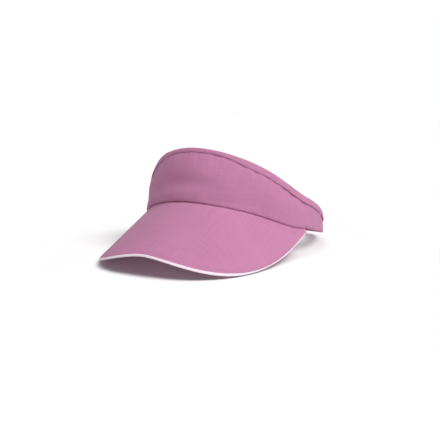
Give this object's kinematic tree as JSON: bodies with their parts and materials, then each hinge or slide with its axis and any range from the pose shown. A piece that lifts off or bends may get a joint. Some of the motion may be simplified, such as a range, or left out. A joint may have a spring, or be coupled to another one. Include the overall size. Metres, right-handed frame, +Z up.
{
  "type": "sun visor",
  "caption": "Open-topped cotton sun visor: tall padded front band, curved board peak with contrast piping, and a hook-and-loop strap at the back.",
  "frame": {"origin": "middle of the object's outline on the surface that it stands on, at rest on the two lower corners of the peak and the bottom of the rear strap", "axes": "+Z up from that surface; the peak points along -Y, the rear strap is towards +Y, and +X is at the wearer's left"},
  "size_m": [0.175, 0.2639, 0.0993],
  "materials": {
    "cotton": "woven pink cotton, matte",
    "cotton_inner": "pink cotton lining and facing, matte",
    "sweat_cloth": "soft brushed cotton, matte",
    "foam": "open-cell foam, matte",
    "buckram": "stiffened open-weave cotton",
    "piping": "white folded cotton piping, matte",
    "board": "flexible plastic board, matte",
    "loop": "knitted loop pile, fuzzy",
    "hook": "moulded hook tape, matte",
    "thread": "polyester sewing thread, slight sheen",
    "label": "blank woven satin label"
  },
  "bodies": {
    "visor": {"band_outer": "cotton", "band_stiffener": "buckram", "band_lining": "cotton_inner", "top_binding": "cotton", "sweatband_cover": "sweat_cloth", "sweatband_pad": "foam", "peak_top_cover": "cotton", "peak_board": "board", "peak_under_cover": "cotton", "edge_trim": "piping", "peak_turning": "cotton_inner", "strap_left": "cotton_inner", "loop_patch": "loop", "strap_right": "cotton", "strap_bartacks": "thread", "care_label": "label"},
    "tab": {"strap_tab": "cotton", "hook_patch": "hook"}
  },
  "joints": [
    {"name": "tab_peel", "type": "hinge", "parent": "visor", "child": "tab", "pos_m": [-0.04378, 0.11755, 0.00104], "axis": [0.1164, 0.1121, 0.9869], "range_deg": [0, 120]}
  ]
}
